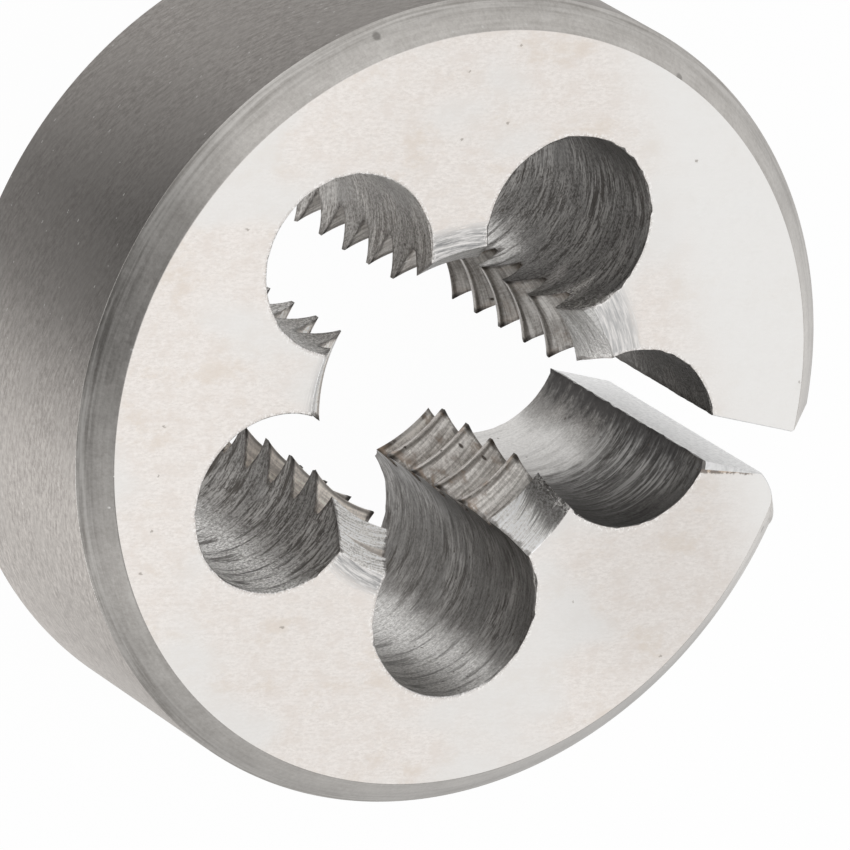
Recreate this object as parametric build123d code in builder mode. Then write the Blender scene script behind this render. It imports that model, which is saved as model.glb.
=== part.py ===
"""Adjustable round threading die, one piece of tool steel.

The die lies on its back face at z = 0, with the thread axis on +Z and its
adjusting slot towards +X. Sizes are in millimetres and degrees.
"""
from build123d import *
from math import ceil, radians, tan
import os

# Body
body_diameter = 30.0
body_height = 11.0
edge_chamfer = 1.0

# Chip holes, drilled on a circle that sits a little off the thread axis
hole_count = 5
hole_diameter = 6.6
hole_circle_radius = 7.55
hole_circle_shift = 0.27
first_hole_angle = 1.6

# Adjusting slot from the first chip hole to the rim, and its V-shaped mouth
slot_width = 1.7
slot_offset = 0.78
mouth_depth = 2.4
mouth_offset = 0.48
mouth_angle = 90.0

# Right-hand thread, left standing on the lands between the chip holes
thread_diameter = 12.0
thread_pitch = 1.75
thread_angle = 60.0
thread_depth = 0.6134 * thread_pitch
crest_flat = thread_pitch / 8
crest_level = 1.26

# Lead chamfer at both faces, which falls away from each cutting edge to the heel.
# It is ground a little off the thread axis, towards -Y.
lead_clearance = 0.27
lead_angle = 37.0
lead_relief = 0.65
lead_shift = 0.29

# Conical dimples in the rim for the holder's locking screws, beside the slot
dimple_angle = 60.0
dimple_diameter = 3.6
dimple_depth = 1.8

# How far each cutting shape runs past the surface that it cuts
overcut = 1.0

body_radius = body_diameter / 2
root_radius = thread_diameter / 2
crest_radius = root_radius - thread_depth
lead_radius = root_radius + lead_clearance
hole_spacing = 360 / hole_count


def land_groove():
    """Ridge that cuts one thread groove across one land.

    It follows the helix from one chip hole to the next, starting on +X with
    the groove's middle at z = 0.
    """
    flank_slope = tan(radians(thread_angle / 2))
    inner_depth = -crest_flat / 2
    mouth_width = thread_pitch - crest_flat
    inner_width = mouth_width - 2 * inner_depth * flank_slope
    root_width = mouth_width - 2 * thread_depth * flank_slope
    with BuildPart() as groove:
        with BuildLine() as path:
            Helix(thread_pitch, thread_pitch / hole_count, crest_radius)
        with BuildSketch(Plane(origin=path.line @ 0, x_dir=(1, 0, 0), z_dir=path.line % 0)):
            with BuildLine():
                Polyline(
                    (inner_depth, -inner_width / 2),
                    (thread_depth, -root_width / 2),
                    (thread_depth, root_width / 2),
                    (inner_depth, inner_width / 2),
                    close=True,
                )
            make_face()
        sweep(path=path.line, is_frenet=True)
    return groove.part


def groove_places():
    """One place for every groove segment, from below the back face to above the front."""
    segment_rise = thread_pitch / hole_count
    first_root = crest_level % thread_pitch - 1.5 * thread_pitch
    first_root += thread_pitch * first_hole_angle / 360
    segments = ceil((body_height + 3 * thread_pitch) / segment_rise)
    places = []
    for step in range(segments):
        level = first_root + step * segment_rise
        angle = first_hole_angle + step * hole_spacing
        places.append(Location((0, 0, level), (0, 0, angle)))
    return places


def lead_cone(land, face_level, outward):
    """Cone that cuts the lead chamfer of one land.

    Its axis stands off towards the land's heel. The heel lies clockwise of the
    land's middle, seen from the side that the thread is started from.
    """
    slope = tan(radians(lead_angle))
    land_start = first_hole_angle + hole_spacing * land
    land_middle = land_start + hole_spacing / 2
    heel = Vector(lead_relief, 0, 0).rotate(Axis.Z, land_middle - 90 * outward)
    base_radius = lead_radius + overcut * slope
    base = Plane(
        origin=(heel.X, heel.Y - lead_shift, face_level + outward * overcut),
        z_dir=(0, 0, -outward),
    )
    with BuildPart() as lead:
        with Locations(base):
            Cone(base_radius, 0, base_radius / slope, align=(Align.CENTER, Align.CENTER, Align.MIN))
        with BuildSketch():
            with BuildLine():
                first_edge = PolarLine((0, 0), body_diameter, land_start)
                last_edge = PolarLine((0, 0), body_diameter, land_start + hole_spacing)
                Line(first_edge @ 1, last_edge @ 1)
            make_face()
        extrude(amount=body_height + overcut, both=True, mode=Mode.INTERSECT)
    return lead.part


with BuildPart() as threading_die:
    Cylinder(body_radius, body_height, align=(Align.CENTER, Align.CENTER, Align.MIN))
    chamfer(threading_die.edges().filter_by(GeomType.CIRCLE), edge_chamfer)

    with BuildSketch():
        Circle(crest_radius)
        with Locations((-hole_circle_shift, 0)):
            with PolarLocations(hole_circle_radius, hole_count, start_angle=first_hole_angle):
                Circle(hole_diameter / 2)
    extrude(amount=body_height, mode=Mode.SUBTRACT)

    slot_start = hole_circle_radius - hole_circle_shift
    slot_length = body_radius + overcut - slot_start
    mouth_length = mouth_depth + overcut
    mouth_half_width = mouth_length * tan(radians(mouth_angle / 2))
    with BuildSketch():
        with Locations((slot_start, slot_offset)):
            Rectangle(slot_length, slot_width, align=(Align.MIN, Align.CENTER))
        with BuildLine():
            Polyline(
                (body_radius - mouth_depth, mouth_offset),
                (body_radius + overcut, mouth_offset + mouth_half_width),
                (body_radius + overcut, mouth_offset - mouth_half_width),
                close=True,
            )
        make_face()
    extrude(amount=body_height, mode=Mode.SUBTRACT)

    with Locations(*groove_places()):
        add(land_groove(), mode=Mode.SUBTRACT)
    for land in range(hole_count):
        add(lead_cone(land, body_height, 1), mode=Mode.SUBTRACT)
        add(lead_cone(land, 0, -1), mode=Mode.SUBTRACT)

    # Each dimple's cone is centred on the rim, with its outer half in the open
    for side in (-1, 1):
        outward = Vector(1, 0, 0).rotate(Axis.Z, side * dimple_angle)
        rim_point = outward * body_radius + Vector(0, 0, body_height / 2)
        with Locations(Plane(origin=rim_point, z_dir=-outward)):
            Cone(dimple_diameter, 0, 2 * dimple_depth, mode=Mode.SUBTRACT)

threading_die.part.label = "threading_die"

os.makedirs("parts", exist_ok=True)
export_step(threading_die.part, "parts/threading_die.step")
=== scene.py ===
"""Looks of the round threading die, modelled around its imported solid.

The body is one closed mesh in millimetres, scaled to metres at the end. Its
outline runs once round the section: in along one side of the adjusting slot,
round the chip holes and lands, out along the slot's other side and back round
the rim. Rows of points climb that outline from the back face to the front face,
and follow the thread's helix on the lands and chip holes.
"""

from math import ceil, cos, degrees, floor, pi, radians, sin, sqrt, tan

import bmesh
import bpy
import numpy as np
from mathutils import Matrix, Vector
from mathutils.geometry import delaunay_2d_cdt


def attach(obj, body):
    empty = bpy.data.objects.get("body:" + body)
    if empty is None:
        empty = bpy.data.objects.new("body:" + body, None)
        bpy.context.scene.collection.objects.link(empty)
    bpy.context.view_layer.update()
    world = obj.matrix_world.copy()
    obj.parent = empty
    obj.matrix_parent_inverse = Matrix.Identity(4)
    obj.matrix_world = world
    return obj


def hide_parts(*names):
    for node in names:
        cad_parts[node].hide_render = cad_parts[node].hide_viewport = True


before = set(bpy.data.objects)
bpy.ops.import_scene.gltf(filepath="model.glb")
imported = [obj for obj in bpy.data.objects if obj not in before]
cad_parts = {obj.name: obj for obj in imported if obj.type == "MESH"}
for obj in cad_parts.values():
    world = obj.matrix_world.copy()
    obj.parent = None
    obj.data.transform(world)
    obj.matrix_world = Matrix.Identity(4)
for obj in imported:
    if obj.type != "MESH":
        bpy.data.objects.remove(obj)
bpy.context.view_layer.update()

MM = 0.001

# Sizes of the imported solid, in millimetres and degrees
BODY_RADIUS = 15.0
HEIGHT = 11.0
CHAMFER = 1.0
HOLE_COUNT = 5
HOLE_RADIUS = 3.3
CIRCLE_RADIUS = 7.55
CIRCLE_SHIFT = 0.27
FIRST_HOLE = 1.6
HOLE_STEP = 360 / HOLE_COUNT
SLOT_LOW = -0.07
SLOT_HIGH = 1.63
MOUTH_X = 12.6
MOUTH_Y = 0.48
PITCH = 1.75
ROOT_RADIUS = 6.0
THREAD_DEPTH = 0.6134 * PITCH
CREST_RADIUS = ROOT_RADIUS - THREAD_DEPTH
CREST_FLAT = PITCH / 8
CREST_LEVEL = 1.26
FLANK_RISE = THREAD_DEPTH * tan(radians(30))
LEAD_RADIUS = 6.27
LEAD_SLOPE = tan(radians(37))
LEAD_RELIEF = 0.65
LEAD_SHIFT = 0.29
DIMPLE_ANGLE = 60.0
DIMPLE_RADIUS = 1.8
DIMPLE_DEPTH = 1.8

# Softened corners that the solid leaves sharp
EDGE_ROUND = 0.04
RIM_ROUND = 0.05

# Torn ends of the lands: depth, how far it goes in, waves to a millimetre, a land's length
RAGGED = 0.045
RAGGED_REACH = 0.15
RAGGED_WAVES = 4.5
LAND_LENGTH = 4.6

# Chip holes' edges: how much their rounding varies, how deep the chips are in roundings,
# the waves of both to a millimetre, and how far from a land they begin
EDGE_WEAR = 0.6
CHIPPED = 3.0
EDGE_WAVES = 1.1
CHIP_WAVES = 2.8
WEAR_START = 0.4

# Bevel that broke off the slot's front edge beside the chip hole, in width and depth
BREAK_WIDTH = 0.3
BREAK_DEPTH = 0.1

# Burr that stands off the slot's lower wall beside the chip hole: its height, and how
# far along the wall it reaches
BURR_HEIGHT = 0.06
BURR_SHARE = 0.06

# Worn flanks of the mouth. The low one leaves the slot turned outwards by an angle and
# rolls over into the rim, and the high one starts further out.
ROLL_TURN = 13.0
ROLL_REACH = 0.25
HIGH_FLANK_SHIFT = 0.08

# Direction of the grinding lines on the front face and the back face
GRIND_ANGLE = 10.0
BACK_GRIND_ANGLE = 64.0

# Columns of points along each stretch of the outline
LAND_COLUMNS = 26
WALL_COLUMNS = 84
SLOT_COLUMNS = 14
FOOT_COLUMNS = 2
MOUTH_COLUMNS = 6
ROLL_COLUMNS = 18
RIM_COLUMNS = 300

# Square patch of fine columns and rows on the rim around each dimple, its half width,
# and how near a point has to be to a dimple's edge to be drawn onto it
DIMPLE_POINTS = 37
DIMPLE_PATCH = 2.0
DIMPLE_SNAP = 0.06

# Distance between the points inside both faces, and from them to the outline
FILL_SPACING = 0.9
FILL_MARGIN = 0.35

# Material slots of the body, in the order in which its faces use them
FACE, RIM, CHAMFER_BAND, HOLE_WALL, LAND, SLOT_WALL = range(6)

# Angle from which an edge is sharp, by the slot of either face beside it
SHARP = {LAND: radians(14), CHAMFER_BAND: radians(5), FACE: radians(3)}
SHARP_ELSEWHERE = radians(35)


def new_object(name, data):
    made = bpy.data.objects.new(name, data)
    bpy.context.scene.collection.objects.link(made)
    return made


def hole_centre(k):
    angle = radians(FIRST_HOLE + HOLE_STEP * k)
    return CIRCLE_RADIUS * cos(angle) - CIRCLE_SHIFT, CIRCLE_RADIUS * sin(angle)


def on_circle(radius, theta):
    return radius * np.cos(np.radians(theta)), radius * np.sin(np.radians(theta))


def bearing(place, cx=0, cy=0):
    """Angle in degrees at which a column's points lie about a centre."""
    return np.degrees(np.arctan2(place["y"] - cy, place["x"] - cx))


def lattice_noise(u, v, seed):
    """Smooth noise from -1 to 1 over two coordinates, one wave or so to a unit.

    Each use of it has a lane v and a seed of its own, so that no two look alike.
    """
    rng = np.random.default_rng(seed)
    size = 256
    grid = rng.uniform(-1, 1, (size, size))
    iu, iv = np.floor(u).astype(int), np.floor(v).astype(int)
    fu, fv = u - iu, v - iv
    fu, fv = fu * fu * (3 - 2 * fu), fv * fv * (3 - 2 * fv)
    a, b = grid[iu % size, iv % size], grid[(iu + 1) % size, iv % size]
    c, d = grid[iu % size, (iv + 1) % size], grid[(iu + 1) % size, (iv + 1) % size]
    return (a * (1 - fu) + b * fu) * (1 - fv) + (c * (1 - fu) + d * fu) * fv


def round_corners(points, radius, steps):
    """Polyline through rounded corners, without its first and last point."""
    out = []
    for before, corner, after in zip(points, points[1:], points[2:]):
        before, corner, after = np.array(before), np.array(corner), np.array(after)
        inward = (before - corner) / np.linalg.norm(before - corner)
        outward = (after - corner) / np.linalg.norm(after - corner)
        half = np.arccos(np.dot(inward, outward)) / 2
        reach = radius / tan(half)
        towards = (inward + outward) / np.linalg.norm(inward + outward)
        middle = corner + towards * radius / sin(half)
        start, end = corner + inward * reach - middle, corner + outward * reach - middle
        turn = np.arccos(np.clip(np.dot(start, end) / radius**2, -1, 1))
        for share in np.linspace(0, 1, steps + 1):
            spoke = (sin((1 - share) * turn) * start + sin(share * turn) * end) / sin(turn)
            out.append(middle + spoke)
    return out


# Rows. The first and last ones round the body's edges, and the rest follow the helix.
ROUND_STEPS = 3
round_turn = np.linspace(0, pi / 2, ROUND_STEPS + 1)[:-1]
back_inset = EDGE_ROUND * (1 - np.sin(round_turn))
back_height = EDGE_ROUND * (1 - np.cos(round_turn))
half_crest = CREST_FLAT / 2
half_root = PITCH / 2 - half_crest - FLANK_RISE
form = np.concatenate([
    np.linspace(-half_crest, half_crest, 3),
    np.linspace(half_crest, PITCH / 2 - half_root, 6)[1:],
    np.linspace(PITCH / 2 - half_root, PITCH / 2 + half_root, 3)[1:],
    np.linspace(PITCH / 2 + half_root, PITCH - half_crest, 6)[1:-1],
])
low_turn = floor(-(CREST_LEVEL + PITCH) / PITCH) - 1
high_turn = ceil((HEIGHT - CREST_LEVEL) / PITCH) + 1
helix_rows = np.concatenate([form + PITCH * turn for turn in range(low_turn, high_turn)])
row_inset = np.concatenate([back_inset, 0 * helix_rows, back_inset[::-1]])
ROWS = len(row_inset)
ENDS = len(back_inset)


def row_heights(theta):
    """Heights of all rows where the helix has turned by theta degrees."""
    middle = helix_rows + CREST_LEVEL + PITCH * np.asarray(theta)[ENDS:-ENDS] / 360
    middle = np.clip(middle, EDGE_ROUND, HEIGHT - EDGE_ROUND)
    return np.concatenate([back_height, middle, HEIGHT - back_height[::-1]])


def crest_offset(theta, z):
    """Height above the middle of the nearest crest."""
    return (z - CREST_LEVEL - PITCH * theta / 360 + PITCH / 2) % PITCH - PITCH / 2


def thread_radius(theta, z):
    """Radius of the thread form, crest inwards."""
    climb = (np.abs(crest_offset(theta, z)) - half_crest) / FLANK_RISE
    return CREST_RADIUS + THREAD_DEPTH * np.clip(climb, 0, 1)


def lead_radius(theta, z, land):
    """Radius of the lead chamfers at both faces, which stand off towards each heel."""
    middle = FIRST_HOLE + HOLE_STEP * (land + 0.5)
    c, s = on_circle(1, theta)
    found = np.zeros_like(z)
    for outward, depth in ((1, HEIGHT - z), (-1, z)):
        heel = radians(middle - 90 * outward)
        off_x, off_y = LEAD_RELIEF * cos(heel), LEAD_RELIEF * sin(heel) - LEAD_SHIFT
        along, across = off_x * c + off_y * s, off_x * s - off_y * c
        cone = np.maximum(LEAD_RADIUS - LEAD_SLOPE * depth, 0)
        radius = along + np.sqrt(np.maximum(cone**2 - across**2, 0))
        found = np.maximum(found, np.where(cone > 1, radius, 0))
    return found


def side_angle(hole, side, radius):
    """Angle at which circles about the thread axis meet a chip hole's wall."""
    x, y = hole_centre(hole % HOLE_COUNT)
    reach = sqrt(x * x + y * y)
    centre = degrees(np.arctan2(y, x)) + 360 * (hole // HOLE_COUNT)
    if centre < -1:
        centre += 360
    cosine = (radius**2 + reach**2 - (HOLE_RADIUS + row_inset) ** 2) / (2 * radius * reach)
    return centre + side * np.degrees(np.arccos(np.clip(cosine, -1, 1)))


def angle_across(land, share, radius):
    """Angle at a share of the way across a land, from one chip hole to the next."""
    first = side_angle(land, 1, radius)
    last = side_angle(land + 1, -1, radius)
    return first + (last - first) * share


def raggedness(land, share, z):
    """How far a land's surface is torn back or pushed up near its ends."""
    torn = 0
    for away, lane, seed in ((share, 0.5, 11), (1 - share, 5.5, 12)):
        fade = np.exp(-away * LAND_LENGTH / RAGGED_REACH)
        torn = torn + fade * lattice_noise(z * RAGGED_WAVES, 10.0 * land + lane, seed)
    return RAGGED * torn


def land_column(land, share):
    """One column of a land: its points' angles, radii and heights, and its two forms.

    The forms are how far the lead stands behind the thread and the height above the
    nearest crest's middle.
    """
    theta = np.full(ROWS, FIRST_HOLE + HOLE_STEP * (land + 0.5))
    for _ in range(8):
        z = row_heights(theta)
        thread, lead = thread_radius(theta, z), lead_radius(theta, z, land)
        theta = angle_across(land, share, np.maximum(thread, lead) + row_inset)
    # A row on the lead moves to where the lead meets the thread, so that the edge is crisp
    gap = lead - thread
    for j in range(ENDS, ROWS - ENDS - 1):
        if gap[j] * gap[j + 1] < 0 and z[j + 1] - z[j] > 1e-6:
            meet = z[j] + (z[j + 1] - z[j]) * gap[j] / (gap[j] - gap[j + 1])
            z[j if gap[j] > 0 else j + 1] = meet
    ragged = raggedness(land, share, z)
    for _ in range(4):
        surface = np.maximum(thread_radius(theta, z), lead_radius(theta, z, land))
        radius = surface + row_inset + ragged
        theta = angle_across(land, share, radius)
    gap = lead_radius(theta, z, land) - thread_radius(theta, z)
    return theta, radius, z, gap, crest_offset(theta, z)


def columns_between(first, last, count):
    return first + (last - first) * np.linspace(0, 1, count + 1)[:, None]


segments = []


def add_segment(x, y, z, u, slots, forms=(0, 0)):
    """A strip of the wall: columns by rows, its running length u and its faces' slots.

    The forms are two more numbers at each point. A land has those of land_column, and
    on the slot the first one tells whether the strip has a burr.
    """
    u = np.broadcast_to(u.reshape(len(u), -1), x.shape)
    segments.append({
        "points": np.stack([x, y, z], -1),
        "slots": np.broadcast_to(slots, (x.shape[0] - 1, x.shape[1] - 1)),
        "steel": (u, z),
        "form": [np.broadcast_to(part, x.shape) for part in forms],
        "ends": (np.abs(u - u[:1]), np.abs(u - u[-1:])),
    })


# Lands
lands = []
for land in range(HOLE_COUNT):
    shares = np.linspace(0, 1, LAND_COLUMNS + 1)
    shares = (shares + 0.5 - np.cos(shares * pi) / 2) / 2
    columns = [land_column(land, share) for share in shares]
    theta, radius, z, gap, offset = (np.array(part) for part in zip(*columns))
    x, y = on_circle(radius, theta)
    lands.append({"x": x, "y": y, "z": z, "theta": theta, "forms": (gap, offset)})


def hole_wall(hole, start, end, count):
    """Wall of a chip hole between two columns, the way that leads round its far side."""
    cx, cy = hole_centre(hole)
    outward = FIRST_HOLE + HOLE_STEP * hole
    first, last = (
        outward + (bearing(column, cx, cy) - outward + 180) % 360 - 180 for column in (start, end)
    )
    phi = columns_between(first, last, count)
    z = columns_between(start["z"], end["z"], count)
    # The edges at both faces are rounded unevenly and chipped, except where a land meets them
    along = np.linspace(0, 1, count + 1)[:, None]
    length = np.radians(np.abs(last - first)[ROWS // 2]) * HOLE_RADIUS
    window = np.clip(np.minimum(along, 1 - along) * length / WEAR_START, 0, 1)
    slow = lattice_noise(along * length * EDGE_WAVES, 20.0 * hole + 0.5, 21)
    fast = lattice_noise(along * length * CHIP_WAVES, 20.0 * hole + 0.5, 22)
    wear = np.exp(window * EDGE_WEAR * slow) + window * CHIPPED * np.maximum(0, fast - 0.2)
    z = np.clip(z, EDGE_ROUND * wear, HEIGHT - EDGE_ROUND * wear)
    z[:, :ENDS] = back_height * wear
    z[:, -ENDS:] = HEIGHT - back_height[::-1] * wear
    radius = HOLE_RADIUS + row_inset * wear + 0 * phi
    x, y = on_circle(radius, phi)
    x, y = cx + x, cy + y
    x[0], y[0], x[-1], y[-1] = start["x"], start["y"], end["x"], end["y"]
    z[0], z[-1] = start["z"], end["z"]
    add_segment(x, y, z, np.radians(phi) * HOLE_RADIUS, HOLE_WALL)


# Rim profile from the back face to the front face, shared out over the rows
FACE_START = 12.0
rim_corners = [
    (FACE_START, 0.0),
    (BODY_RADIUS - CHAMFER, 0.0),
    (BODY_RADIUS, CHAMFER),
    (BODY_RADIUS, HEIGHT - CHAMFER),
    (BODY_RADIUS - CHAMFER, HEIGHT),
    (FACE_START, HEIGHT),
]
rim_points = np.array(round_corners(rim_corners, RIM_ROUND, ROUND_STEPS))
half = len(rim_points) // 2
patch = HEIGHT / 2 + DIMPLE_PATCH * np.linspace(-1, 1, DIMPLE_POINTS)
levels = np.concatenate([[2.0, 2.9], patch, [8.1, 9.0]])
straight = np.stack([np.full(len(levels), BODY_RADIUS), levels], -1)
rim_points = np.concatenate([rim_points[:half], straight, rim_points[half:]])
middle_rows = np.linspace(ENDS, len(rim_points) - 1 - ENDS, ROWS - 2 * ENDS)
rim_row = np.concatenate([
    np.arange(ENDS),
    np.round(middle_rows).astype(int),
    len(rim_points) - ENDS + np.arange(ENDS),
])
rim_radius, rim_height = rim_points[rim_row].T
on_chamfer = (rim_height[1:] < CHAMFER + 0.02) | (rim_height[:-1] > HEIGHT - CHAMFER - 0.02)
rim_slots = np.where(on_chamfer, CHAMFER_BAND, RIM)


def slot_side(side, wall_y, theta):
    """Columns where a side of the opening turns: at the chip hole, the mouth and the rim."""
    cx, cy = hole_centre(0)
    y = wall_y + side * row_inset
    shift = MOUTH_X - side * MOUTH_Y - sqrt(2) * row_inset
    if side > 0:
        shift = shift + HIGH_FLANK_SHIFT
    z = row_heights(np.full(ROWS, theta[ROWS // 2]))
    ragged = 2 * lattice_noise(z * 1.3, 60.5 + side, 13) + lattice_noise(z * 4, 60.5 + side, 14)
    found = {"junction": {"x": shift + side * y, "y": y, "z": z}}
    if side < 0:
        y, z = y.copy(), z.copy()
        y[-ENDS:] = SLOT_LOW - BREAK_WIDTH * np.linspace(0, 1, ENDS)
        z[:-ENDS] = np.minimum(z[:-ENDS], HEIGHT - BREAK_DEPTH)
        z[-ENDS:] = HEIGHT - BREAK_DEPTH * np.linspace(1, 0, ENDS)
    wall_x = cx + np.sqrt((HOLE_RADIUS + row_inset) ** 2 - (y - cy) ** 2)
    found["corner"] = {"x": wall_x + RAGGED * ragged, "y": y, "z": z}
    rim_x = (shift + np.sqrt(2 * rim_radius**2 - shift**2)) / 2
    found["rim_end"] = {"x": rim_x, "y": side * (rim_x - shift), "z": rim_height}
    return found


def add_burr(low):
    """Raises lumps on the corner of the low wall, which end at a foot along it."""
    corner, junction = low["corner"], low["junction"]
    low["foot"] = {
        axis: corner[axis] + BURR_SHARE * (junction[axis] - corner[axis]) for axis in "xyz"
    }
    lump = 0.4 + 0.7 * lattice_noise(corner["z"] * 1.7, 70.5, 15)
    lump = lump + 0.8 * lattice_noise(corner["z"] * 4.1, 70.5, 16)
    lump[:ENDS], lump[-ENDS:] = 0, 0
    corner["y"] = corner["y"] + BURR_HEIGHT * np.clip(lump, 0, 1.4)


def flat_wall(start, end, count, burr=0):
    x, y, z = (columns_between(start[axis], end[axis], count) for axis in "xyz")
    length = np.hypot(x - x[0, 0], y - y[0, 0])
    add_segment(x, y, z, length, SLOT_WALL, (burr, 0))


def rolled_flank(low):
    """Low flank of the mouth, curved from the slot's wall into the rim."""
    start, end = low["junction"], low["rim_end"]
    flank_length = np.hypot(end["x"] - start["x"], end["y"] - start["y"])
    rolled = np.arctan2(end["y"], end["x"]) - ROLL_REACH / rim_radius
    end["x"], end["y"] = rim_radius * np.cos(rolled), rim_radius * np.sin(rolled)
    share = np.linspace(0, 1, ROLL_COLUMNS + 1)[:, None]
    aim = radians(ROLL_TURN - 45)
    leave, arrive = 0.45 * flank_length, 1.5 * ROLL_REACH
    path = []
    for axis, lean, back in (("x", cos(aim), -np.sin(rolled)), ("y", sin(aim), np.cos(rolled))):
        first, last = start[axis], end[axis]
        second, third = first + lean * leave, last + back * arrive
        near_start = (first * (1 - share) + 3 * second * share) * (1 - share) ** 2
        near_end = (last * share + 3 * third * (1 - share)) * share**2
        path.append(near_start + near_end)
    length = np.hypot(path[0] - path[0][0, 0], path[1] - path[1][0, 0])
    slots = np.where(share[1:] > 0.7, rim_slots, SLOT_WALL)
    add_segment(*path, columns_between(start["z"], end["z"], ROLL_COLUMNS), length, slots)


def press_dimple(x, y, z, azimuth):
    """Sinks the rim's points under a screw's dimple, and draws near ones to its edge."""
    a = radians(azimuth)
    outward, beside = x * cos(a) + y * sin(a), y * cos(a) - x * sin(a)
    rise = z - HEIGHT / 2
    away = np.hypot(beside, rise)
    edge = np.full_like(away, DIMPLE_RADIUS)
    cosine = beside / np.maximum(away, 1e-9)
    for _ in range(5):
        edge = DIMPLE_RADIUS - (edge * cosine) ** 2 / (2 * BODY_RADIUS)
    near = (outward > 0) & (np.abs(away - edge) < DIMPLE_SNAP)
    scale = np.where(near, edge / np.maximum(away, 1e-9), 1)
    beside, rise = beside * scale, rise * scale
    on_patch = (outward > 0) & (away < DIMPLE_PATCH + 0.2)
    cone = BODY_RADIUS - DIMPLE_DEPTH + np.hypot(beside, rise) * DIMPLE_DEPTH / DIMPLE_RADIUS
    surface = np.sqrt(np.maximum(BODY_RADIUS**2 - beside**2, 0))
    outward = np.where(on_patch, np.minimum(surface, cone), outward)
    return outward * cos(a) - beside * sin(a), outward * sin(a) + beside * cos(a), rise + HEIGHT / 2


# The outline, from the rim's end above the mouth round to the one below it
high = slot_side(1, SLOT_HIGH, lands[0]["theta"][0])
low = slot_side(-1, SLOT_LOW, lands[-1]["theta"][-1])
add_burr(low)
flat_wall(high["rim_end"], high["junction"], MOUTH_COLUMNS)
flat_wall(high["junction"], high["corner"], SLOT_COLUMNS)
before = high["corner"]
for hole, here in enumerate(lands):
    start, end = ({axis: here[axis][column] for axis in "xyz"} for column in (0, -1))
    hole_wall(hole, before, start, WALL_COLUMNS if hole else WALL_COLUMNS // 2)
    length = np.radians(here["theta"]) * ROOT_RADIUS
    add_segment(here["x"], here["y"], here["z"], length, LAND, here["forms"])
    before = end
hole_wall(0, before, low["corner"], WALL_COLUMNS // 2)
flat_wall(low["corner"], low["foot"], FOOT_COLUMNS, 1)
flat_wall(low["foot"], low["junction"], SLOT_COLUMNS)
rolled_flank(low)

# The rim, back round to the first end
first, last = bearing(low["rim_end"]), bearing(high["rim_end"]) - 360
turns = np.linspace(first[ROWS // 2], last[ROWS // 2], RIM_COLUMNS + 1)
for middle in (-DIMPLE_ANGLE, DIMPLE_ANGLE - 360):
    reach = degrees(DIMPLE_PATCH / BODY_RADIUS)
    fine = np.linspace(middle + reach, middle - reach, DIMPLE_POINTS)
    turns = np.sort(np.concatenate([turns[np.abs(turns - middle) > reach + 0.4], fine]))[::-1]
theta = first + (last - first) * ((turns - turns[0]) / (turns[-1] - turns[0]))[:, None]
x, y = on_circle(rim_radius, theta)
z = rim_height + 0 * x
for side in (-1, 1):
    x, y, z = press_dimple(x, y, z, side * DIMPLE_ANGLE)
for column, turning in ((0, low), (-1, high)):
    x[column], y[column] = turning["rim_end"]["x"], turning["rim_end"]["y"]
add_segment(x, y, z, np.radians(theta) * BODY_RADIUS, rim_slots)


def build_body():
    """Joins the strips into one closed mesh and fills its two faces."""
    stacked = np.concatenate([s["points"].reshape(-1, 3) for s in segments])
    keys, ids = np.unique(np.round(stacked, 5), axis=0, return_inverse=True)
    ids = ids.reshape(-1)
    points = [tuple(p) for p in keys]
    faces, slots, tops, bottoms = [], [], [], []
    layers = {"steel": [], "form": [], "ends": []}
    offset = 0
    for s in segments:
        n, m, _ = s["points"].shape
        at = ids[offset : offset + n * m].reshape(n, m)
        offset += n * m
        tops.extend(at[:-1, -1])
        bottoms.extend(at[:-1, 0])
        for i in range(n - 1):
            for j in range(m - 1):
                kept = []
                for c in ((i, j), (i, j + 1), (i + 1, j + 1), (i + 1, j)):
                    if all(at[c] != at[k] for k in kept):
                        kept.append(c)
                if len(kept) > 2:
                    faces.append([at[c] for c in kept])
                    slots.append(s["slots"][i, j])
                    for name, corners in layers.items():
                        corners.append([(s[name][0][c], s[name][1][c]) for c in kept])
    for outline, level, upward in ((tops, HEIGHT, True), (bottoms, 0.0, False)):
        loop = [p for k, p in enumerate(outline) if p != outline[k - 1]]
        fill(points, faces, slots, layers, loop, level, upward)
    return points, faces, slots, layers


def fill(points, faces, slots, layers, loop, level, upward):
    """Fills a face of the body with triangles, from its outline and points inside it."""
    turn = radians(GRIND_ANGLE if upward else BACK_GRIND_ANGLE)
    along, across = Vector((cos(turn), sin(turn))), Vector((-sin(turn), cos(turn)))
    flat = [Vector(points[p][:2]) for p in loop]
    outline = np.array(flat)
    steps = np.arange(-BODY_RADIUS + 0.3, BODY_RADIUS, FILL_SPACING)
    inner = []
    for row, gy in enumerate(steps):
        for gx in steps + (FILL_SPACING / 2 if row % 2 else 0):
            near = np.hypot(outline[:, 0] - gx, outline[:, 1] - gy).min()
            if near > FILL_MARGIN and in_outline(outline, gx, gy):
                inner.append(Vector((gx, gy)))
    count = len(flat)
    ring = [(k, (k + 1) % count) for k in range(count)]
    verts, _, tris, origin, _, _ = delaunay_2d_cdt(flat + inner, ring, [], 0, 1e-7, True)
    index = []
    for v, sources in zip(verts, origin):
        rim = [k for k in sources if k < count]
        if rim:
            index.append(loop[rim[0]])
        else:
            index.append(len(points))
            points.append((v.x, v.y, level))
    for tri in tris:
        middle = sum((verts[k] for k in tri), Vector((0, 0))) / 3
        if not in_outline(outline, middle.x, middle.y):
            continue
        tri = tri if upward else tri[::-1]
        faces.append([index[k] for k in tri])
        slots.append(FACE)
        layers["steel"].append([(along.dot(verts[k]), across.dot(verts[k])) for k in tri])
        for name in ("form", "ends"):
            layers[name].append([(0, 0)] * 3)


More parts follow.
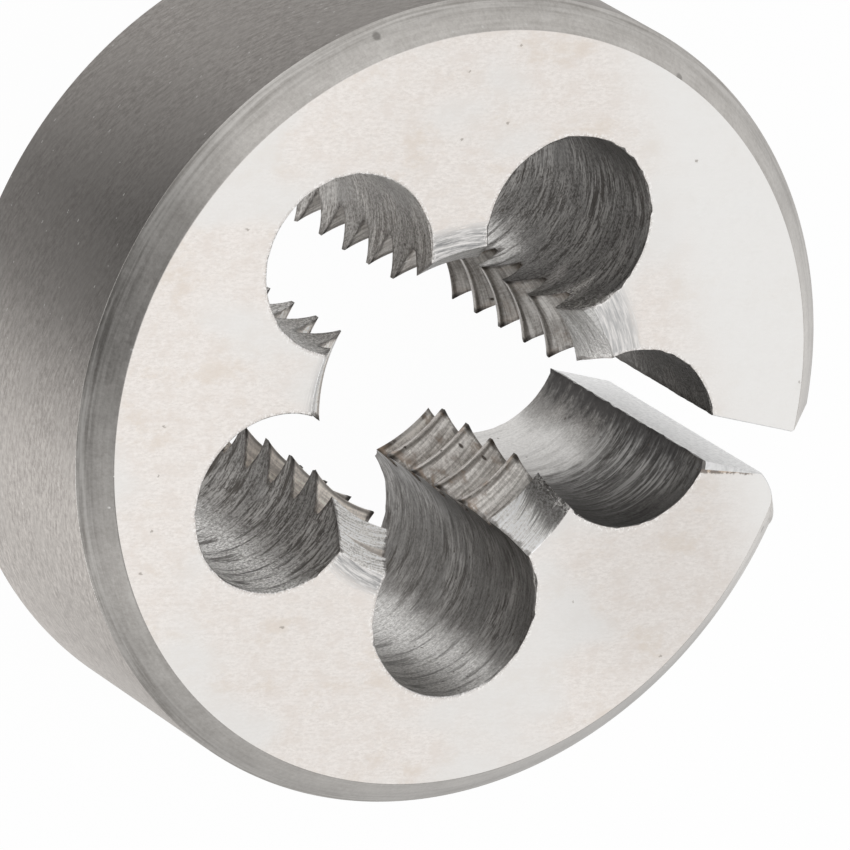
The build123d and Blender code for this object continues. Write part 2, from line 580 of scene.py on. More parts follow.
def in_outline(outline, gx, gy):
    ax, ay = outline[:, 0], outline[:, 1]
    bx, by = np.roll(ax, -1), np.roll(ay, -1)
    across = (ay > gy) != (by > gy)
    hit = across & (gx < (bx - ax) * (gy - ay) / np.where(by == ay, 1, by - ay) + ax)
    return hit.sum() % 2 == 1


points, faces, slots, layers = build_body()
mesh = bpy.data.meshes.new("die_body")
mesh.from_pydata([(x * MM, y * MM, z * MM) for x, y, z in points], [], faces)
mesh.polygons.foreach_set("material_index", np.array(slots, np.int32))
for name, coordinates in layers.items():
    layer = mesh.uv_layers.new(name=name)
    layer.data.foreach_set("uv", np.array([c for f in coordinates for c in f], np.float32).ravel())
mesh.validate()
mesh.update()
body = new_object("die_body", mesh)

work = bmesh.new()
work.from_mesh(mesh)
form_layer = work.loops.layers.uv["form"]


def on_crest_edge(edge):
    """Tells an edge between a crest and its flank, which wear has rounded."""
    loop = edge.link_loops[0]
    marks = [loop[form_layer].uv, loop.link_loop_next[form_layer].uv]
    return all(gap < -0.03 and abs(abs(offset) - half_crest) < 0.01 for gap, offset in marks)


for edge in work.edges:
    limit = min(SHARP.get(f.material_index, SHARP_ELSEWHERE) for f in edge.link_faces)
    on_land = all(f.material_index == LAND for f in edge.link_faces)
    edge.smooth = edge.calc_face_angle(0) < limit or (on_land and on_crest_edge(edge))
for face in work.faces:
    face.smooth = True
work.to_mesh(mesh)
work.free()


class Nodes:
    """Builds the node tree of a material or a world, a call for each node.

    A material's colour is kept in self.colour, which toned and over build on.
    """

    def __init__(self, owner):
        owner.use_nodes = True
        self.owner = owner
        self.tree = owner.node_tree
        self.colour = None

    def feed(self, node, **sockets):
        """Links or sets inputs, each by its name, or by the letter i and its number."""
        for key, value in sockets.items():
            key = int(key[1:]) if key.startswith("i") else key.replace("_", " ")
            if isinstance(value, bpy.types.NodeSocket):
                self.tree.links.new(value, node.inputs[key])
            else:
                node.inputs[key].default_value = value
        return node

    def add(self, kind, settings=None, **sockets):
        """A new shader node, with its settings and what feeds it."""
        node = self.tree.nodes.new("ShaderNode" + kind)
        for key, value in (settings or {}).items():
            setattr(node, key, value)
        return self.feed(node, **sockets)

    def math(self, operation, a, b=0.0, c=0.0, clamp=False):
        settings = {"operation": operation, "use_clamp": clamp}
        return self.add("Math", settings, i0=a, i1=b, i2=c).outputs[0]

    def plus(self, a, b, clamp=False):
        return self.math("ADD", a, b, clamp=clamp)

    def minus(self, a, b):
        return self.math("SUBTRACT", a, b)

    def apart(self, a, b):
        """How far two values are apart."""
        return self.math("ABSOLUTE", self.minus(a, b))

    def times(self, value, *factors, clamp=False):
        for factor in factors:
            value = self.math("MULTIPLY", value, factor, clamp=clamp)
        return value

    def muladd(self, a, b, c):
        """Product of the first two values, plus the third."""
        return self.math("MULTIPLY_ADD", a, b, c)

    def length(self, x, y):
        return self.math("SQRT", self.plus(self.times(x, x), self.times(y, y)))

    def split(self, source):
        parts = self.add("SeparateXYZ", i0=source)
        return parts.outputs[0], parts.outputs[1]

    def place(self, layer):
        """The two numbers that a UV layer holds."""
        return self.split(self.add("UVMap", {"uv_map": layer}).outputs[0])

    def flat(self):
        """Place on the body's plan, in millimetres."""
        x, y = self.split(self.add("TexCoord").outputs["Object"])
        return self.times(x, 1 / MM), self.times(y, 1 / MM)

    def polar(self):
        """Distance from the thread axis in millimetres, and the angle about it."""
        x, y = self.split(self.add("TexCoord").outputs["Object"])
        return self.times(self.length(x, y), 1 / MM), self.math("ARCTAN2", y, x)

    def uv(self, along, across, shift=(0.0, 0.0), slant=0.0):
        """Surface coordinates, with so many units to a millimetre each way."""
        u, v = self.place("steel")
        v = self.plus(v, self.times(u, slant))
        u, v = self.muladd(u, along, shift[0]), self.muladd(v, across, shift[1])
        return self.add("CombineXYZ", i0=u, i1=v).outputs[0]

    def noise(self, along, across, shift=(0.0, 0.0), detail=2.0, rough=0.5, slant=0.0, bent=0.0):
        """Noise with so many waves to a millimetre along the surface and across."""
        return self.noise_at(self.uv(along, across, shift, slant), detail, rough, bent)

    def noise_at(self, vector, detail, rough, bent=0.0):
        return self.add(
            "TexNoise", {"noise_dimensions": "2D"}, Vector=vector, Scale=1.0,
            Detail=detail, Roughness=rough, Distortion=bent,
        ).outputs["Fac"]

    def ranged(self, value, low, high, to_low=0.0, to_high=1.0):
        """Smooth step between two values, either of which may be the larger."""
        node = self.add("MapRange", {"interpolation_type": "SMOOTHSTEP"}, i0=value, i1=low, i2=high)
        return self.feed(node, i3=to_low, i4=to_high).outputs[0]

    def mix(self, share, a, b):
        a, b = ((*tone, 1) if isinstance(tone, tuple) else tone for tone in (a, b))
        return self.add("Mix", {"data_type": "RGBA"}, i0=share, i6=a, i7=b).outputs[2]

    def pits(self, vector, scale, reach, share):
        """Sparse round spots: one where a cell draws under share, reach across."""
        settings = {"voronoi_dimensions": "2D"}
        cell = self.add("TexVoronoi", settings, Vector=vector, Scale=scale)
        draw = self.add("SeparateColor", i0=cell.outputs["Color"]).outputs[0]
        near = self.ranged(cell.outputs["Distance"], reach, reach * 0.5)
        return self.times(near, self.math("LESS_THAN", draw, share))

    def curls(self, waves, strength=1.0):
        """Thin curled lines, where a twisted noise crosses its middle."""
        noise = self.noise(waves, waves, (9.0, 3.0), 2.0, 0.6, bent=1.2)
        return self.ranged(self.apart(noise, 0.5), 0.045, 0.015, 0.0, strength)

    def tones(self, steps, interpolation="CONSTANT"):
        """Values by angle, each step beginning with its own angle."""
        turn = self.math("FRACT", self.muladd(self.polar()[1], 0.5 / pi, 1.0))
        found = []
        for first in range(1, len(steps[0]), 3):
            ramp = self.add("ValToRGB", i0=turn)
            ramp.color_ramp.interpolation = interpolation
            while len(ramp.color_ramp.elements) < len(steps):
                ramp.color_ramp.elements.new(0.5)
            for element, step in zip(ramp.color_ramp.elements, steps):
                values = (*step[first : first + 3], 0, 0)[:3]
                element.position = step[0] / 360
                element.color = (*values, 1)
            found.extend(self.add("SeparateColor", i0=ramp.outputs[0]).outputs)
        return found[: len(steps[0]) - 1]

    def shades(self, value, dark, light, low=0.35, high=0.65):
        """From a dark shade to a light one as a value goes from low to high."""
        return self.mix(self.ranged(value, low, high), dark, light)

    def scaled(self, colour, factor):
        settings = {"operation": "SCALE"}
        return self.add("VectorMath", settings, i0=colour, Scale=factor).outputs[0]

    def toned(self, factor):
        self.colour = self.scaled(self.colour, factor)

    def over(self, share, colour):
        self.colour = self.mix(share, self.colour, colour)

    def finish(self, roughness, height, depth, anisotropy):
        """Sets the metal's shader; depth is the bump's in millimetres."""
        bump = self.add("Bump", Strength=1.0, Distance=depth * MM, Height=height)
        shader = self.tree.nodes["Principled BSDF"]
        self.feed(
            shader, Base_Color=self.colour, Roughness=roughness, Normal=bump.outputs[0],
            Metallic=1.0, Anisotropic=anisotropy, Anisotropic_Rotation=0.25,
        )
        if anisotropy:
            tangent = self.add("Tangent", {"direction_type": "UV_MAP", "uv_map": "steel"})
            self.feed(shader, Tangent=tangent.outputs[0])


# Ground ring beside each land on the faces, by the angle at which its stretch starts:
# its outer radius in centimetres, its strength and its dark tone
RINGS = (
    (0, 0.738, 0.95, 0.4),
    (73.6, 0.695, 1, 0.25),
    (145.6, 0.648, 1, 0.3),
    (217.6, 0.735, 1, 0.3),
    (289.6, 0.675, 0.3, 0.6),
)
# Painted light and shade on the rim, as its tone by angle, and how far painted shade darkens it
# from the back face to the front, by angle
RIM_LIGHT_AND_SHADE = (
    (0, 1.17, 0), (140, 0.9, 0.1), (152, 0.72, 0.2), (160, 0.57, 0.25),
    (166, 0.49, 0.25), (175, 0.58, 0.15), (180, 0.69, 0.15), (185, 0.88, 0.08),
    (190, 1.02, 0.06), (200, 1.1, 0), (215, 1.18, 0), (225, 1.33, 0.08),
    (240, 1.42, 0.1), (300, 1.17, 0),
)
# Painted light and shade on the chamfers, as their tone by angle
CHAMFER_LIGHT_AND_SHADE = (
    (0, 1.2), (20, 1.2), (45, 1.05), (145, 1.5), (160, 1.21),
    (172, 1.42), (181, 1.09), (187, 1.05), (195, 0.77), (205, 0.6),
    (215, 0.72), (230, 0.92), (320, 0.85), (340, 1.1), (348, 1.3),
)
# Each land by the angle at which it starts: its thread's tone and its lead's tone, both partly
# painted light and shade, how far its lead darkens towards its last end, a painted shadow that also
# sets the burrs there, and towards its first one, how much rougher the lead is, and how rusty the
# thread is
LAND_TONES = (
    (0, 1.12, 1.07, 0, 0.5, 0, 0.25),
    (73.6, 1.5, 1, 0, 0, 0.1, 0.15),
    (145.6, 2.2, 1.9, 0, 0, 0.2, 0),
    (217.6, 1.85, 1.75, 0, 0, 0.5, 0.15),
    (289.6, 1.77, 1.75, 0.9, 0, 0, 0.8),
)
# Each chip hole by the angle at which it starts, and the one at the slot in two parts: its streaks,
# how far the painted light on its lit side spreads, its grit, its tone in its back and front
# halves, partly painted light and shade, how far these halves differ in their marks, the level
# below which its painted light is bright, how burred it is beside the land before it, and how fresh
# the metal is there, which also brightens the painted light a little
HOLE_MARKS = (
    (0, 0.5, 0.25, 1.5, 0.85, 0.5, 0, 7, 0, 0),
    (37.6, 1.25, 0.08, 1.6, 0.62, 0.57, 0, 6.1, 1, 1),
    (109.6, 0.5, 0, 1.3, 1.35, 1.35, 0, 30, 0, 0),
    (181.6, 1.4, 0.2, 1.45, 0.87, 0.83, 0, 30, 0, 0),
    (253.6, 0.85, -0.03, 0.6, 0.7, 0.64, 0, 30, 0, 0),
    (325.6, 1.2, -0.05, 0.8, 0.9, 0.42, 1, 6.3, 1, 0),
)


def ground_face(n):
    grain = n.noise(4, 9, detail=4, rough=0.75)
    line = n.noise(0.25, 6, (7, 3), 3, 0.7, slant=0.008)
    cloud = n.noise(1.1, 1.6, (2, 11), 5, 0.7)
    stain = n.noise(0.35, 0.55, (12, 1), 6, 0.7)
    cool = n.noise(0.14, 0.22, (31, 5))
    n.colour = n.shades(grain, (0.655, 0.617, 0.585), (0.835, 0.795, 0.76), 0.25, 0.75)
    n.over(n.ranged(line, 0.4, 0.66, 0, 0.35), (0.775, 0.738, 0.71))
    n.over(n.ranged(cloud, 0.42, 0.7, 0, 0.5), (0.685, 0.628, 0.582))
    n.over(n.ranged(stain, 0.54, 0.72, 0, 0.45), (0.66, 0.585, 0.51))
    n.over(n.ranged(cool, 0.48, 0.68, 0, 0.6), (0.735, 0.733, 0.722))
    x, y = n.flat()
    # Painted shade: darker round a spot towards the lower right of the front face
    away = n.plus(n.math("POWER", n.plus(x, -10.5), 2), n.math("POWER", n.plus(y, 3.5), 2))
    n.toned(n.ranged(away, 2, 40, 0.91, 1))
    n.over(n.ranged(n.muladd(y, 0.7, x), 9.5, 13.5, 0, 0.8), (0.775, 0.77, 0.757))
    n.toned(n.ranged(x, -12, -4, 1.05, 1))
    radius, angle = n.polar()
    outer, strength, tone = n.tones(RINGS)
    along = n.times(angle, 5)
    round_axis = n.add("CombineXYZ", i0=along, i1=n.times(radius, 9)).outputs[0]
    lines = n.noise_at(round_axis, 4, 0.75)
    edge = n.muladd(outer, 10, n.muladd(lines, 1.2, -0.6))
    inside = n.ranged(n.minus(edge, radius), -0.15, 0.3)
    grey = n.add("CombineColor", i0=tone, i1=tone, i2=tone).outputs[0]
    n.over(n.times(inside, strength), n.shades(lines, grey, (0.735, 0.715, 0.697), 0.3, 0.7))
    # Nicks along the chip holes' edges, told by the distance from the nearest hole's wall
    beside = n.plus(x, CIRCLE_SHIFT)
    reach = n.length(beside, y)
    sector = n.minus(n.math("ARCTAN2", y, beside), radians(FIRST_HOLE))
    sector = n.math("WRAP", sector, radians(HOLE_STEP / 2), radians(-HOLE_STEP / 2))
    chord = n.times(reach, n.math("COSINE", sector), 2 * CIRCLE_RADIUS)
    off_wall = n.minus(n.muladd(reach, reach, CIRCLE_RADIUS**2), chord)
    off_wall = n.minus(n.math("SQRT", off_wall), HOLE_RADIUS)
    nick = n.noise(8, 8, (6, 3), 3, 0.7)
    nicked = n.ranged(n.muladd(nick, -0.55, off_wall), -0.2, -0.1, 0.6, 0)
    n.over(nicked, n.shades(nick, (0.42, 0.385, 0.355), (0.9, 0.88, 0.86), 0.45, 0.6))
    # A burr turned over from the slot's wall, which lies at y = SLOT_LOW
    ragged = n.noise(2.5, 2.5, (5, 2), 4, 0.75)
    off_slot = n.muladd(y, -1, SLOT_LOW)
    off_slot = n.minus(off_slot, n.ranged(x, 10.4, 13, BREAK_WIDTH, 0))
    burr = n.ranged(n.muladd(ragged, -0.3, off_slot), 0, -0.07)
    burr = n.times(burr, n.ranged(x, 10.2, 10.4), n.ranged(x, 12.9, 12.6))
    burr = n.times(burr, n.ranged(off_slot, -0.2, -0.1, 0, 0.85))
    n.over(burr, n.shades(ragged, (0.5, 0.40, 0.31), (0.16, 0.13, 0.11), 0.42, 0.55))
    bent = n.noise(6, 6)
    pit = n.pits(n.uv(1, 1, shift=(n.times(bent, 0.3), 0)), 0.5, 0.035, 0.12)
    n.over(n.times(pit, 0.6), (0.25, 0.22, 0.19))
    n.finish(n.ranged(grain, 0.2, 0.8, 0.42, 0.5), grain, 0.002, 0.3)


def rim_steel(n):
    stroke = n.noise(1.2, 7, detail=3, rough=0.7, slant=0.3)
    sand = n.noise(3.5, 6, (3, 9), 4, 0.85)
    broad = n.noise(0.3, 0.6, (4, 1), 4)
    grain = n.plus(n.times(stroke, 0.4), n.times(sand, 0.6))
    n.colour = n.shades(grain, (0.24, 0.222, 0.207), (0.45, 0.425, 0.402), 0.3, 0.7)
    n.over(n.ranged(broad, 0.4, 0.7, 0, 0.35), (0.37, 0.35, 0.33))
    # Painted light and shade: the rim's tone by angle, darker towards the front face
    tone, painted_front_shade = n.tones(RIM_LIGHT_AND_SHADE, "LINEAR")
    behind = n.muladd(n.place("steel")[1], -2 / HEIGHT, 1)
    n.toned(n.times(tone, n.muladd(behind, painted_front_shade, 1)))
    bent = n.noise(9, 9)
    speck = n.pits(n.uv(1, 1.5, shift=(n.times(bent, 0.3), 0)), 1.2, 0.06, 0.2)
    n.over(n.times(speck, 0.5), (0.75, 0.74, 0.72))
    n.finish(n.ranged(grain, 0.3, 0.7, 0.44, 0.56), grain, 0.006, 0.75)


def chamfer_steel(n):
    v = n.place("steel")[1]
    inward = n.apart(v, HEIGHT / 2)
    outer = n.ranged(inward, HEIGHT / 2 - 0.45, HEIGHT / 2 - 0.9, 0.25, 1)
    fine = n.noise(0.2, 9, detail=3, rough=0.6, slant=0.004)
    sand = n.noise(6, 8, (3, 9), 3, 0.8)
    cloud = n.noise(0.8, 1.4, (6, 2), 4, 0.6)
    lines = n.times(n.minus(fine, 0.47), n.times(outer, 0.75))
    grain = n.muladd(n.minus(sand, 0.5), 0.25, n.plus(lines, 0.5))
    grain = n.muladd(n.minus(cloud, 0.5), 0.2, grain)
    n.colour = n.shades(grain, (0.31, 0.292, 0.272), (0.58, 0.56, 0.535), 0.25, 0.75)
    # Painted light and shade by angle, and darker towards the rim
    tone = n.tones(CHAMFER_LIGHT_AND_SHADE, "LINEAR")[0]
    n.toned(n.times(tone, n.ranged(inward, HEIGHT / 2 - 0.8, HEIGHT / 2 - 0.25, 0.89, 1.03)))
    dent = n.pits(n.uv(1, 1.3, shift=(n.times(fine, 0.2), 0)), 0.45, 0.09, 0.12)
    n.over(n.times(dent, 0.55), (0.14, 0.13, 0.12))
    speck = n.pits(n.uv(1, 1, shift=(5, 5)), 1.6, 0.09, 0.16)
    speck = n.times(speck, n.ranged(inward, HEIGHT / 2 - 0.25, HEIGHT / 2 - 0.08))
    n.over(n.times(speck, 0.7), (0.85, 0.84, 0.82))
    n.finish(n.ranged(grain, 0.3, 0.7, 0.32, 0.4), grain, 0.003, 0)


def hole_steel(n):
    u, v = n.place("steel")
    first_end, last_end = n.place("ends")
    marks = n.tones(HOLE_MARKS)
    streaks, spread, grit, back_light_and_tone, front_light_and_tone, halves, lit_below, burred, fresh_metal_and_light = marks
    # Painted light: the side of each hole that faces the light is painted lighter, as set by spread
    # and lit_below
    toward = n.math("COSINE", n.muladd(u, 1 / HOLE_RADIUS, radians(-18)))
    facing = n.plus(toward, spread)
    stroke = n.noise(1.3, 7.5, detail=3, rough=0.65, slant=0.06, bent=0.15)
    gouge = n.noise(0.4, 2.8, (5, 2), 3, 0.6, slant=0.08, bent=0.2)
    sand = n.noise(8, 11, (1, 7), 3, 0.8)
    cloud = n.noise(0.5, 0.5, (8, 4), 5, 0.65)
    drag = n.noise(0.45, 2.2, (15, 22), 2, 0.6, slant=0.05, bent=0.3)
    drag = n.ranged(n.apart(drag, 0.5), 0.02, 0)
    patch = n.noise(0.4, 0.6, (3, 13))
    level = n.muladd(cloud, 2, v)
    half = n.ranged(level, HEIGHT * 0.5, HEIGHT * 0.68)
    smeared = n.times(halves, n.ranged(level, HEIGHT * 0.62, HEIGHT * 0.45, 0, 0.8))
    marked = n.minus(1, smeared)
    lit = n.times(n.minus(stroke, 0.5), marked, 0.5)
    lit = n.plus(lit, n.muladd(cloud, 0.35, facing))
    lit = n.ranged(lit, 0.55, 0.95, 0.95, 0)
    lit = n.times(lit, n.ranged(n.minus(level, lit_below), 1, -0.8, 0.08, 1))
    cut = n.times(n.ranged(gouge, 0.47, 0.33, 0, 0.65), n.times(streaks, marked), clamp=True)
    lit = n.times(lit, n.minus(1, cut))
    streaky = n.times(n.ranged(patch, 0.35, 0.65, 0.4, 1.2), streaks, marked)
    streaky = n.times(n.ranged(facing, 0.45, 0.85, 0.35, 1), streaky)
    shade = n.plus(n.times(stroke, 0.68), n.times(gouge, 0.32))
    shade = n.muladd(n.minus(shade, 0.5), streaky, 0.5)
    clean = n.muladd(n.math("MAXIMUM", halves, fresh_metal_and_light), -0.6, 0.35)
    gritty = n.times(n.minus(sand, 0.5), grit, n.muladd(lit, clean, 0.42))
    shade = n.plus(shade, gritty)
    n.colour = n.shades(shade, (0.12, 0.11, 0.101), (0.4, 0.385, 0.367))
    n.over(n.ranged(cloud, 0.5, 0.72, 0, 0.5), (0.36, 0.35, 0.337))
    dark = n.times(n.ranged(gouge, 0.42, 0.3, 0, 0.6), streaky, clamp=True)
    n.over(dark, (0.09, 0.08, 0.07))
    lines = n.times(n.times(drag, 0.5), streaky, clamp=True)
    n.over(lines, (0.07, 0.06, 0.053))
    # Painted light and shade: each hole's tone in its back and front halves
    tone = n.muladd(half, n.minus(front_light_and_tone, back_light_and_tone), back_light_and_tone)
    n.toned(n.times(tone, n.ranged(patch, 0.3, 0.7, 0.85, 1.15)))
    # Painted light over the lit side, a little brighter where the metal is fresh
    bright = n.shades(shade, (0.4, 0.385, 0.368), (1, 0.985, 0.965))
    n.over(lit, n.scaled(bright, n.muladd(fresh_metal_and_light, 0.1, 1)))
    # Bright arcs that a cutter left over the darker front half, drawn only on the side that faces
    # the light, which makes them partly a painted highlight
    arc = n.noise(0.3, 5.5, (11, 6), 3, 0.6, slant=0.12, bent=0.15)
    arc = n.plus(n.ranged(arc, 0.5, 0.6), n.ranged(stroke, 0.56, 0.66, 0, 0.5), clamp=True)
    arc = n.times(arc, n.ranged(level, 5, 6.8), n.ranged(level, 11.4, 10.2))
    arc = n.times(arc, n.ranged(toward, -0.2, 0.3), halves, 0.55)
    n.over(arc, (0.55, 0.54, 0.525))
    # Dirt and torn metal beside the lands
    near = n.math("MINIMUM", first_end, last_end)
    torn = n.noise(1.5, 3, (4, 9), 3, 0.7)
    edge = n.ranged(n.muladd(torn, -0.5, near), -0.2, 0.02, 0.5, 0)
    n.over(edge, (0.06, 0.05, 0.043))
    # Dark band beside the slot, fainter towards the front face
    dark_band_by_slot = n.ranged(n.muladd(torn, -1.8, last_end), -0.7, 0.6, 0.9, 0)
    dark_band_by_slot = n.times(dark_band_by_slot, halves, n.ranged(v, 10.5, 9, 0.3, 1))
    n.over(dark_band_by_slot, (0.04, 0.037, 0.036))
    # Fresh metal and curled burr at the front, beside the land before
    bare = n.times(n.ranged(n.muladd(torn, -1.2, first_end), 0.7, -0.3), fresh_metal_and_light)
    bare = n.times(bare, n.ranged(level, 8, 9.2, 0, 0.8))
    n.over(bare, n.shades(shade, (0.24, 0.225, 0.21), (0.6, 0.575, 0.55)))
    curl = n.times(n.curls(2.6, 0.85), burred, n.ranged(first_end, 1.5, 0.5))
    n.over(n.times(curl, n.ranged(v, 8.6, 9.6)), (0.8, 0.78, 0.75))
    fringe = n.times(n.ranged(n.muladd(torn, -1, first_end), 0, -0.3), fresh_metal_and_light)
    fringe = n.times(fringe, n.ranged(v, 8.6, 9.4), n.ranged(sand, 0.5, 0.6), 0.85)
    n.over(fringe, (0.95, 0.93, 0.9))
    spot = n.pits(n.uv(1, 0.8, shift=(n.times(sand, 0.15), 0)), 1.3, 0.07, 0.25)
    n.over(n.times(spot, 0.65), (0.06, 0.045, 0.035))
    height = n.muladd(lines, -0.4, shade)
    n.finish(n.ranged(shade, 0.3, 0.7, 0.5, 0.4), height, 0.014, 0)


def land_steel(n):
    """The thread and its lead chamfers, told apart by the form layer."""
    v = n.place("steel")[1]
    gap, crest = n.place("form")
    first_end, last_end = n.place("ends")
    tones = n.tones(LAND_TONES)
    thread_light_and_tone, lead_light_and_tone, last_shadow_and_burr, first_fade, rougher, rusty = tones
    fine = n.noise(0.3, 13, detail=4, rough=0.65)
    sand = n.noise(9, 12, (1, 7), 3, 0.8)
    cloud = n.noise(0.9, 2.2, (3, 8), 4, 0.6)
    stain = n.noise(1.3, 1.8, (13, 5), 4, 0.65)
    shade = n.plus(n.times(fine, 0.65), n.times(sand, 0.35))
    plain = n.times(rougher, 1.6)
    low = n.mix(plain, (0.26, 0.243, 0.226), (0.46, 0.443, 0.425))
    n.colour = n.shades(shade, low, (0.56, 0.54, 0.515))
    n.over(n.ranged(cloud, 0.5, 0.72, 0, 0.4), (0.55, 0.525, 0.5))
    stained = n.times(n.ranged(cloud, 0.45, 0.25, 0, 0.5), n.minus(1, plain))
    n.over(stained, (0.22, 0.203, 0.188))
    n.over(n.times(n.ranged(stain, 0.48, 0.68, 0, 0.7), rusty), (0.15, 0.125, 0.11))
    off_crest = n.math("ABSOLUTE", crest)
    wander = n.muladd(sand, 0.12, -0.06)
    flat = n.ranged(n.plus(off_crest, wander), half_crest + 0.02, half_crest - 0.02, 0, 0.45)
    n.over(n.times(flat, rusty), (0.14, 0.125, 0.112))
    # Painted shade along the edge where each crest falls to its flank
    below = n.ranged(n.apart(off_crest, half_crest + 0.035), 0.06, 0, 0, 0.6)
    n.over(below, (0.14, 0.125, 0.112))
    # Painted shade in the thread's roots, less on a rougher land
    root_edge = PITCH / 2 - half_root
    root = n.ranged(n.plus(off_crest, wander), root_edge - 0.1, root_edge + 0.02)
    root = n.times(root, n.muladd(plain, -0.6, 0.6))
    n.over(root, (0.12, 0.105, 0.095))
    # Painted light and shade: each land's thread toned by a factor of its own
    n.toned(thread_light_and_tone)
    # The lead, as a cutter left it
    cut = n.noise(0.3, 13, (9, 1), 4, 0.75, slant=0.08, bent=0.15)
    cut = n.plus(n.times(cut, 0.65), n.times(sand, 0.35))
    cloudy = n.noise(0.8, 1.6, (2, 6), 4)
    low = n.mix(rougher, (0.40, 0.39, 0.376), (0.34, 0.33, 0.318))
    lead = n.shades(cut, low, (0.76, 0.75, 0.735), 0.37, 0.64)
    lead = n.mix(n.ranged(cloudy, 0.5, 0.72, 0, 0.25), lead, (0.5, 0.488, 0.472))
    # Painted light and shade: each land's lead toned by a factor of its own
    lead = n.scaled(lead, lead_light_and_tone)
    streak = n.noise(0.3, 15, (2, 17), 3, 0.65, slant=0.15)
    uneven = n.muladd(streak, 3, -1.1)
    # Painted shadow over the lead towards its last end; the lead also darkens towards its first end
    fade = n.times(n.ranged(n.plus(uneven, last_end), 2, 1.05), last_shadow_and_burr)
    begin = n.times(n.ranged(n.plus(uneven, first_end), 2, 0.7), first_fade)
    lead = n.mix(n.math("MAXIMUM", fade, begin), lead, (0.27, 0.26, 0.25))
    scar = n.noise(0.7, 3, (19, 4), 4, 0.7, slant=0.5, bent=0.1)
    scar = n.times(n.ranged(scar, 0.52, 0.36), rougher)
    lead = n.mix(scar, lead, n.shades(sand, (0.46, 0.45, 0.438), (0.8, 0.79, 0.775)))
    # Dirt where the lead meets the thread
    seam = n.ranged(n.math("ABSOLUTE", n.plus(gap, 0.09)), 0.15, 0.05)
    seam = n.times(seam, rusty, n.ranged(stain, 0.4, 0.55, 0.4, 1))
    n.over(seam, (0.06, 0.05, 0.043))
    on_lead = n.ranged(n.plus(gap, n.muladd(sand, 0.02, -0.01)), 0, 0.012)
    # At the faces themselves even a thread root that the lead misses is bare like the lead
    at_face = n.apart(v, HEIGHT / 2)
    on_lead = n.math("MAXIMUM", on_lead, n.ranged(at_face, HEIGHT / 2 - 0.75, HEIGHT / 2 - 0.65))
    n.over(on_lead, lead)
    # Rust, torn metal, burrs and painted shade in the grooves towards the ends
    near = n.math("MINIMUM", first_end, last_end)
    torn = n.noise(2.5, 3, (4, 9), 3, 0.7)
    rust = n.times(n.ranged(near, 0.6, 0.1), n.ranged(stain, 0.47, 0.62))
    rust = n.math("MAXIMUM", rust, n.ranged(stain, 0.57, 0.72, 0, 0.6))
    rust = n.times(rust, rusty, n.minus(1, on_lead))
    n.over(rust, (0.46, 0.36, 0.28))
    edge = n.ranged(n.muladd(torn, -0.5, near), -0.22, -0.05, 0.6, 0)
    n.over(edge, (0.07, 0.058, 0.05))
    burr = n.times(n.ranged(v, 8.6, 9.4), last_shadow_and_burr, n.ranged(last_end, 1.3, 0.5))
    n.over(burr, n.shades(sand, (0.16, 0.15, 0.142), (0.4, 0.39, 0.378)))
    curl = n.times(n.curls(3), n.math("MAXIMUM", first_fade, last_shadow_and_burr))
    curl = n.times(curl, n.ranged(last_end, 0.5, 0.15), n.ranged(v, 9, 9.6))
    n.over(curl, (0.85, 0.83, 0.8))
    # Painted shade in the thread's grooves near the land's ends
    groove_end_shade = n.times(n.ranged(near, 0.3, 0.12), n.ranged(off_crest, 0.3, 0.16))
    groove_end_shade = n.times(groove_end_shade, 0.75, n.minus(1, on_lead))
    n.over(groove_end_shade, (0.05, 0.045, 0.04))
    pit = n.pits(n.uv(1, 1), 1.3, 0.1, 0.1)
    pit = n.times(pit, n.minus(1, on_lead))
    n.over(n.times(pit, 0.85), (0.06, 0.045, 0.035))
    height = n.muladd(pit, -0.6, shade)
    smooth = n.muladd(on_lead, -0.1, rougher)
    rough = n.plus(smooth, n.ranged(shade, 0.3, 0.7, 0.5, 0.38))
    n.finish(rough, height, 0.02, 0)


def slot_steel(n):
    burred = n.place("form")[0]
    first_end = n.place("ends")[0]
    fine = n.noise(5, 7, detail=4, rough=0.7)
    cloud = n.noise(0.5, 0.7, (6, 2), 3)
    n.colour = n.shades(fine, (0.69, 0.688, 0.684), (0.88, 0.876, 0.87), 0.3, 0.7)
    n.over(n.ranged(cloud, 0.5, 0.75, 0, 0.4), (0.76, 0.757, 0.752))
    torn = n.noise(1.5, 2.2, (4, 9), 4, 0.7)
    torn = n.ranged(torn, 0.36, 0.6, 0.05, 0.25)
    edge = n.ranged(n.minus(first_end, torn), -0.06, 0.02, 0.85, 0)
    n.over(n.times(edge, burred), (0.08, 0.07, 0.06))
    n.finish(n.ranged(fine, 0.3, 0.7, 0.45, 0.38), fine, 0.006, 0)


# One material for each slot, in their order, named for the function that makes it
for dress in (ground_face, rim_steel, chamfer_steel, hole_steel, land_steel, slot_steel):
    nodes = Nodes(bpy.data.materials.new(dress.__name__))
    dress(nodes)
    mesh.materials.append(nodes.owner)
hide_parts("threading_die")
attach(body, "root")

# Floor, just under the body and this far each way
FLOOR_REACH = 3.0
FLOOR_LEVEL = -0.05 * MM
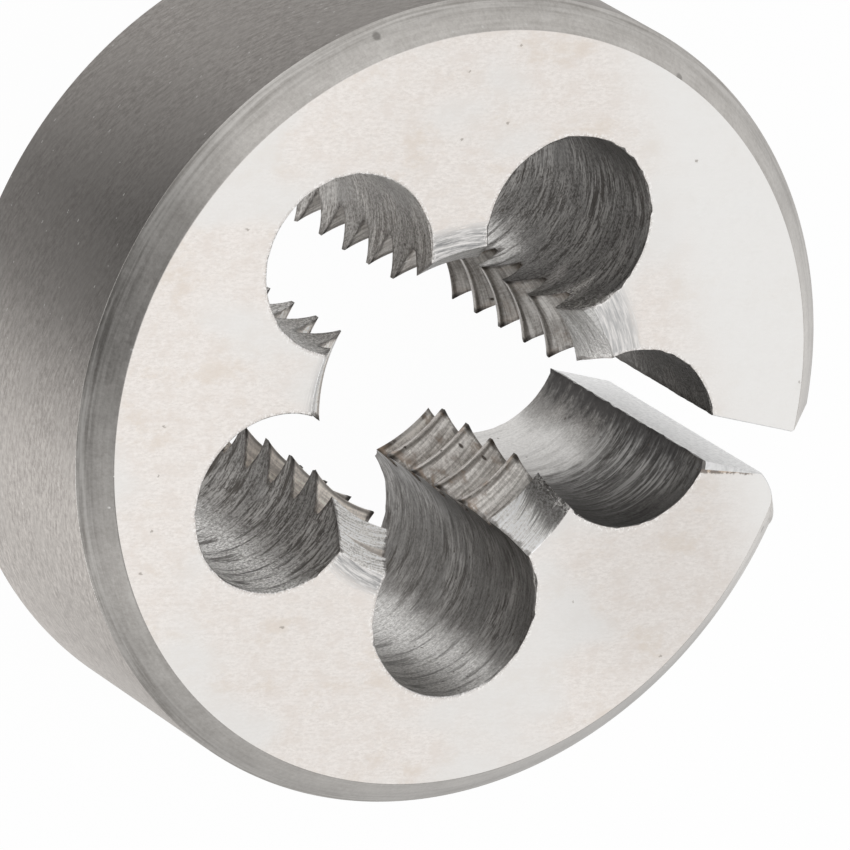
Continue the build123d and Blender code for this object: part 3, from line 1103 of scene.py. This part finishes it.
# How much of the floor's white the camera and the steel see; the rest keeps its shadows
WHITE_SHARE = 0.97
floor_mesh = bpy.data.meshes.new("floor")
floor_corners = [
    (x * FLOOR_REACH, y * FLOOR_REACH, FLOOR_LEVEL) for x, y in ((-1, -1), (1, -1), (1, 1), (-1, 1))
]
floor_mesh.from_pydata(floor_corners, [], [(0, 1, 2, 3)])
floor_object = new_object("floor", floor_mesh)
paper = Nodes(bpy.data.materials.new("floor_paper"))
diffuse = paper.tree.nodes["Principled BSDF"]
paper.feed(diffuse, Base_Color=(0.9, 0.9, 0.9, 1), Roughness=0.9)
ray = paper.add("LightPath").outputs
seen = paper.math("MAXIMUM", ray["Is Camera Ray"], ray["Is Glossy Ray"])
seen = paper.math("MAXIMUM", seen, ray["Is Transmission Ray"])
white = paper.add("Emission").outputs[0]
share = paper.times(seen, WHITE_SHARE)
lit = paper.add("MixShader", i0=share, i1=diffuse.outputs[0], i2=white).outputs[0]
# The floor can't be seen from below, so that the back face can
clear = paper.add("BsdfTransparent").outputs[0]
below = paper.add("NewGeometry").outputs["Backfacing"]
one_sided = paper.add("MixShader", i0=below, i1=lit, i2=clear).outputs[0]
paper.feed(paper.tree.nodes["Material Output"], Surface=one_sided)
floor_mesh.materials.append(paper.owner)


def area_light(name, azimuth, elevation, distance, size, power):
    """A lamp that faces the body: angles in degrees, lengths in metres, power in watts."""
    data = bpy.data.lights.new(name, "AREA")
    data.shape = "RECTANGLE"
    data.size, data.size_y = size
    data.energy = power
    light = new_object(name, data)
    a, e = radians(azimuth), radians(elevation)
    out = Vector((cos(a) * cos(e), sin(a) * cos(e), sin(e)))
    light.location = out * distance
    light.rotation_mode = "QUATERNION"
    light.rotation_quaternion = out.to_track_quat("Z", "Y")


area_light("key", -17, 58, 0.45, (0.4, 0.4), 0.26)
area_light("side", 226, 5, 0.45, (0.3, 0.07), 0.75)

# The room is darker around one direction on the camera's side: strengths in the room and
# there, and the cosines from that direction between which the one turns into the other
DARK_AZIMUTH = 187.0
DARK_ELEVATION = 15.0
ROOM_STRENGTH = 0.74
DARK_STRENGTH = 0.05
DARK_START = 0.74
DARK_FULL = 0.95
room = Nodes(bpy.data.worlds.new("studio"))
bpy.context.scene.world = room.owner
a, e = radians(DARK_AZIMUTH), radians(DARK_ELEVATION)
dark = Vector((cos(a), sin(a), tan(e))).normalized()
direction = room.add("TexCoord").outputs["Generated"]
toward = room.add("VectorMath", {"operation": "DOT_PRODUCT"}, i0=direction, i1=dark)
toward = toward.outputs["Value"]
strength = room.ranged(toward, DARK_START, DARK_FULL, ROOM_STRENGTH, DARK_STRENGTH)
room.feed(room.tree.nodes["Background"], Color=(1, 1, 1, 1), Strength=strength)

# Camera, as fitted to the photograph's holes, faces and teeth
camera_data = bpy.data.cameras.new("camera")
camera_data.lens = 534.49
camera_data.clip_start, camera_data.clip_end = 0.01, 20
camera = new_object("camera", camera_data)
camera.matrix_world = Matrix((
    (0.81762974, -0.16637411, -0.5511817, -0.24685380),
    (0.30419456, 0.93763949, 0.16821964, 0.07411673),
    (0.48882233, -0.30520786, 0.81725204, 0.37496615),
    (0, 0, 0, 1),
))
bpy.context.scene.camera = camera
bpy.context.scene.view_settings.view_transform = "Standard"
